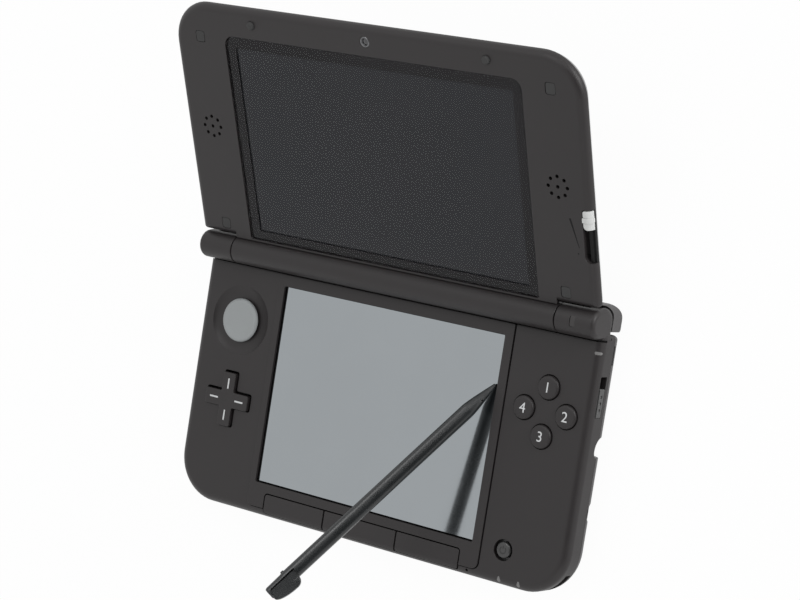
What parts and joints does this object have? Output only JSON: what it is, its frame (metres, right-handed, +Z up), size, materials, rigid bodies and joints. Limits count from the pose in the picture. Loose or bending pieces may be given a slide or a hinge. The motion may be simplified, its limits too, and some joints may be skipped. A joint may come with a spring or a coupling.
{
  "type": "clamshell handheld game console",
  "caption": "Folding handheld game console standing open, with a wide upper display, a lower touch display with controls on both sides, and its stylus resting on the lower display",
  "frame": {"origin": "centre of the flat underside of the base, on the plane it rests on", "axes": "+Z up; +X to the player's right; +Y towards the hinge"},
  "size_m": [0.1562, 0.179, 0.0599],
  "materials": {
    "shell_top": "fine matt grain",
    "shell_gloss": "dark gloss lacquer",
    "key_plastic": "satin moulded plastic",
    "pad_grey": "soft-touch grey",
    "pale_plastic": "pale satin plastic",
    "clear_pipe": "milky light pipe",
    "window": "gloss acrylic with a dark border",
    "screen_upper": "switched-off display",
    "screen_lower": "clear touch film over a switched-off display",
    "steel": "plain steel",
    "board": "solder-masked laminate",
    "black_plastic": "black moulded plastic",
    "silicone": "matt silicone",
    "soft_rubber": "matt rubber",
    "cell": "battery casing with a bare label field"
  },
  "bodies": {
    "base": {"base_top_shell": "shell_top", "base_bottom_shell": "shell_top", "battery_cover": "shell_gloss", "cover_screws": "steel", "case_screws": "steel", "battery": "cell", "main_board": "board", "screen_surround": "shell_top", "touch_panel": "screen_lower", "lower_lcd": "screen_upper", "pad_housing": "black_plastic", "dpad_membrane": "silicone", "button_membrane": "silicone", "key_membrane": "silicone", "hinge_end_left": "shell_top", "hinge_end_right": "shell_top", "shoulder_pins": "steel", "memory_slot": "steel", "card_slot": "black_plastic", "charging_port": "black_plastic", "headphone_jack": "black_plastic", "infrared_window": "window", "light_pipes": "clear_pipe", "stylus_holder": "black_plastic"},
    "lid": {"lid_inner_shell": "shell_top", "lid_outer_shell": "shell_gloss", "hinge_barrel": "shell_top", "hinge_unit_left": "steel", "hinge_unit_right": "steel", "screen_window": "window", "upper_lcd": "screen_upper", "lid_speakers": "black_plastic", "lid_bumpers": "soft_rubber", "lid_pegs": "soft_rubber", "inner_camera": "window", "outer_cameras": "window", "camera_board": "board", "slider_rail": "key_plastic"},
    "pad_x": {"pad_carriage": "black_plastic"},
    "pad_y": {"circle_pad": "pad_grey"},
    "dpad_x": {"dpad_ball": "steel"},
    "dpad_y": {"dpad": "key_plastic"},
    "back_button": {"button_back": "key_plastic"},
    "left_button": {"button_left": "key_plastic"},
    "right_button": {"button_right": "key_plastic"},
    "front_button": {"button_front": "key_plastic"},
    "power": {"power_button": "key_plastic"},
    "key_left": {"left_key": "shell_top"},
    "key_home": {"home_key": "shell_top"},
    "key_right": {"right_key": "shell_top"},
    "shoulder_l": {"shoulder_left": "key_plastic"},
    "shoulder_r": {"shoulder_right": "key_plastic"},
    "wireless": {"wireless_switch": "key_plastic"},
    "volume": {"volume_slider": "key_plastic"},
    "memory_flap": {"memory_door": "shell_top"},
    "depth": {"depth_slider": "pale_plastic"},
    "pen": {"stylus": "key_plastic"}
  },
  "joints": [
    {"name": "lid_hinge", "type": "hinge", "parent": "base", "child": "lid", "pos_m": [0, 0.0396, 0.01508], "axis": [1, 0, 0], "range_deg": [0, 155.35]},
    {"name": "pad_slide_x", "type": "slide", "parent": "base", "child": "pad_x", "axis": [1, 0, 0], "range_m": [-0.00185, 0.00185], "stiffness_N_per_m": 60},
    {"name": "pad_slide_y", "type": "slide", "parent": "pad_x", "child": "pad_y", "axis": [0, 1, 0], "range_m": [-0.00185, 0.00185], "stiffness_N_per_m": 60},
    {"name": "dpad_rock_x", "type": "hinge", "parent": "base", "child": "dpad_x", "pos_m": [-0.0609, -0.01075, 0.00952], "axis": [1, 0, 0], "range_deg": [-2.5, 2.5], "stiffness_Nm_per_rad": 0.04},
    {"name": "dpad_rock_y", "type": "hinge", "parent": "dpad_x", "child": "dpad_y", "pos_m": [-0.0609, -0.01075, 0.00952], "axis": [0, 1, 0], "range_deg": [-2.5, 2.5], "stiffness_Nm_per_rad": 0.04},
    {"name": "back_button_press", "type": "slide", "parent": "base", "child": "back_button", "axis": [0, 0, -1], "range_m": [0, 0.0008], "stiffness_N_per_m": 250, "springref_m": -0.001},
    {"name": "left_button_press", "type": "slide", "parent": "base", "child": "left_button", "axis": [0, 0, -1], "range_m": [0, 0.0008], "stiffness_N_per_m": 250, "springref_m": -0.001},
    {"name": "right_button_press", "type": "slide", "parent": "base", "child": "right_button", "axis": [0, 0, -1], "range_m": [0, 0.0008], "stiffness_N_per_m": 250, "springref_m": -0.001},
    {"name": "front_button_press", "type": "slide", "parent": "base", "child": "front_button", "axis": [0, 0, -1], "range_m": [0, 0.0008], "stiffness_N_per_m": 250, "springref_m": -0.001},
    {"name": "power_press", "type": "slide", "parent": "base", "child": "power", "axis": [0, 0, -1], "range_m": [0, 0.0005], "stiffness_N_per_m": 250, "springref_m": -0.001},
    {"name": "key_left_press", "type": "slide", "parent": "base", "child": "key_left", "axis": [0, 0, -1], "range_m": [0, 0.00035], "stiffness_N_per_m": 300, "springref_m": -0.001},
    {"name": "key_home_press", "type": "slide", "parent": "base", "child": "key_home", "axis": [0, 0, -1], "range_m": [0, 0.00035], "stiffness_N_per_m": 300, "springref_m": -0.001},
    {"name": "key_right_press", "type": "slide", "parent": "base", "child": "key_right", "axis": [0, 0, -1], "range_m": [0, 0.00035], "stiffness_N_per_m": 300, "springref_m": -0.001},
    {"name": "shoulder_l_press", "type": "hinge", "parent": "base", "child": "shoulder_l", "pos_m": [-0.0486, 0.0405, 0.0045], "axis": [0, 0, 1], "range_deg": [0, 1.1], "stiffness_Nm_per_rad": 0.6, "springref_deg": -1.72},
    {"name": "shoulder_r_press", "type": "hinge", "parent": "base", "child": "shoulder_r", "pos_m": [0.0486, 0.0405, 0.0045], "axis": [0, 0, -1], "range_deg": [0, 1.1], "stiffness_Nm_per_rad": 0.6, "springref_deg": -1.72},
    {"name": "wireless_slide", "type": "slide", "parent": "base", "child": "wireless", "axis": [0, 1, 0], "range_m": [0, 0.0033], "stiffness_N_per_m": 200, "springref_m": -0.001},
    {"name": "volume_slide", "type": "slide", "parent": "base", "child": "volume", "axis": [0, 1, 0], "range_m": [0, 0.0059]},
    {"name": "memory_flap_hinge", "type": "hinge", "parent": "base", "child": "memory_flap", "pos_m": [-0.0773, 0.0183, 0.0059], "axis": [0, 0, -1], "range_deg": [0, 90]},
    {"name": "depth_slide", "type": "slide", "parent": "lid", "child": "depth", "axis": [0, -0.9089, -0.4171], "range_m": [0, 0.0105]},
    {"name": "stylus_lift", "type": "slide", "parent": "base", "child": "pen", "axis": [-0.4183, -0.7672, 0.4863], "range_m": [0, 0.1]}
  ],
  "couplings": [
    {"joint": "stylus_lift", "follows": "lid_hinge", "m_per_rad": 0.0368}
  ]
}
